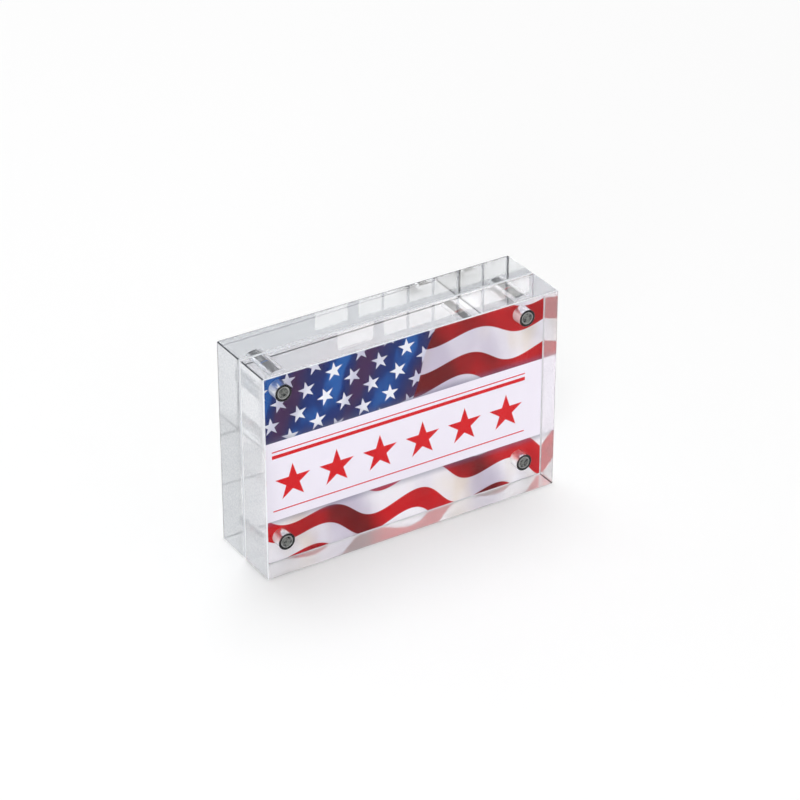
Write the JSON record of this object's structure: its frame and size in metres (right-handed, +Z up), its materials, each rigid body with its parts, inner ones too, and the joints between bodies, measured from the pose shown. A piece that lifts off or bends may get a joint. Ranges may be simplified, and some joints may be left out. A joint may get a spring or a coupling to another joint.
{
  "type": "acrylic block frame",
  "caption": "Free-standing clear acrylic block frame: thick slabs held face to face by magnets in their corners, with a printed card between them that lifts out.",
  "frame": {"origin": "under the centre of the block, on the surface that it stands on", "axes": "+X along the width, to the right as seen from the front, -Y out of the front face, +Z up"},
  "size_m": [0.1524, 0.0406, 0.1016],
  "materials": {
    "clear_acrylic": "polished",
    "nickel_plate": "polished",
    "dark_adhesive": "satin",
    "printed_card": "satin"
  },
  "bodies": {
    "rear_half": {"rear_block": "clear_acrylic", "rear_magnet_upper_left": "nickel_plate", "rear_magnet_upper_right": "nickel_plate", "rear_magnet_lower_left": "nickel_plate", "rear_magnet_lower_right": "nickel_plate", "rear_adhesive_upper_left": "dark_adhesive", "rear_adhesive_upper_right": "dark_adhesive", "rear_adhesive_lower_left": "dark_adhesive", "rear_adhesive_lower_right": "dark_adhesive"},
    "front_half": {"front_block": "clear_acrylic", "front_magnet_upper_left": "nickel_plate", "front_magnet_upper_right": "nickel_plate", "front_magnet_lower_left": "nickel_plate", "front_magnet_lower_right": "nickel_plate", "front_adhesive_upper_left": "dark_adhesive", "front_adhesive_upper_right": "dark_adhesive", "front_adhesive_lower_left": "dark_adhesive", "front_adhesive_lower_right": "dark_adhesive"},
    "card": {"print_card": "printed_card"}
  },
  "joints": [
    {"name": "front_half_pull", "type": "slide", "parent": "rear_half", "child": "front_half", "axis": [0, -1, 0], "range_m": [0, 0.04]},
    {"name": "card_lift", "type": "slide", "parent": "rear_half", "child": "card", "axis": [0, 0, 1], "range_m": [0, 0.11]}
  ]
}
